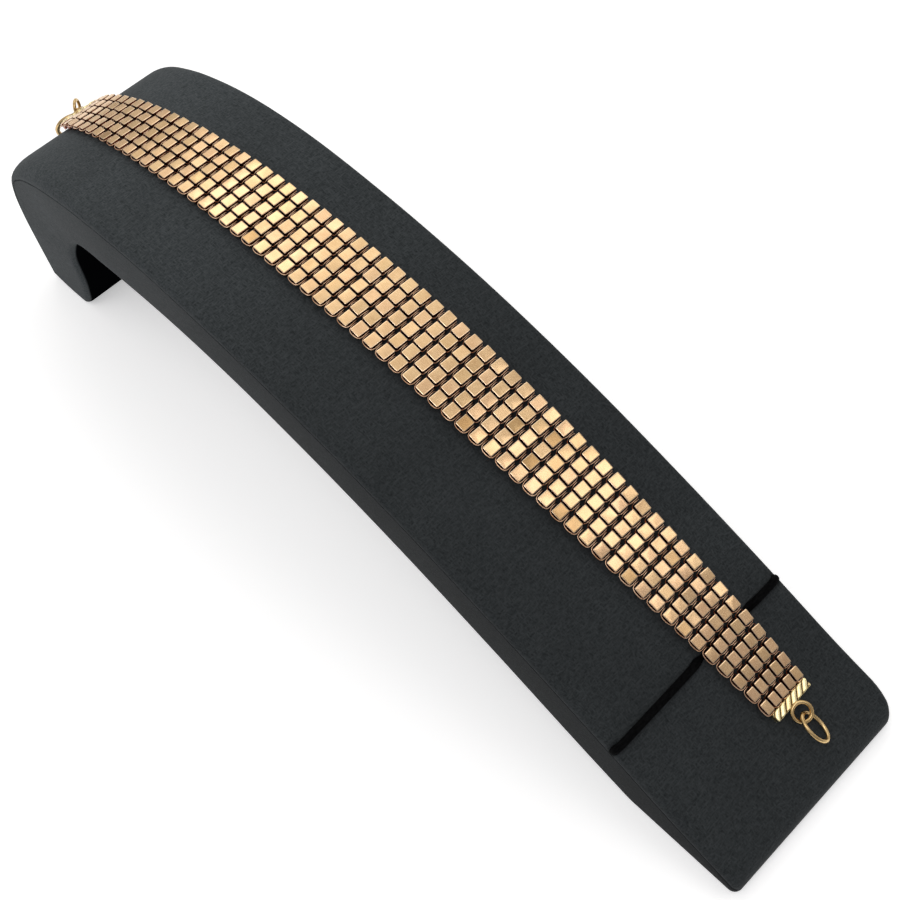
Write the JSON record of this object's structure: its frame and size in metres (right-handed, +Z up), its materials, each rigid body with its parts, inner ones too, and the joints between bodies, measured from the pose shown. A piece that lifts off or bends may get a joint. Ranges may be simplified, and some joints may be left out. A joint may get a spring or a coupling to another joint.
{
  "type": "gold plate mesh bracelet on a curved display ramp",
  "caption": "Flexible band of small square gold plates with fluted end caps, jump rings and a ring clasp, lying open along a dark padded ramp under an elastic cord.",
  "frame": {"origin": "on the table, under the middle of the ramp", "axes": "+X along the ramp toward its low lip, +Y across it, +Z up"},
  "size_m": [0.2059, 0.0422, 0.0522],
  "materials": {
    "leatherette": "matt charcoal leatherette",
    "elastic": "black elastic cord",
    "rose_gold": "satin rose gold",
    "yellow_gold": "polished yellow gold"
  },
  "bodies": {
    "root": {"display_ramp": "leatherette", "elastic_cord": "elastic", "tile_mesh_band": "rose_gold", "near_end_cap": "yellow_gold", "near_jump_ring": "yellow_gold", "far_end_cap": "yellow_gold", "far_jump_ring": "yellow_gold", "ring_clasp": "yellow_gold"}
  },
  "joints": []
}
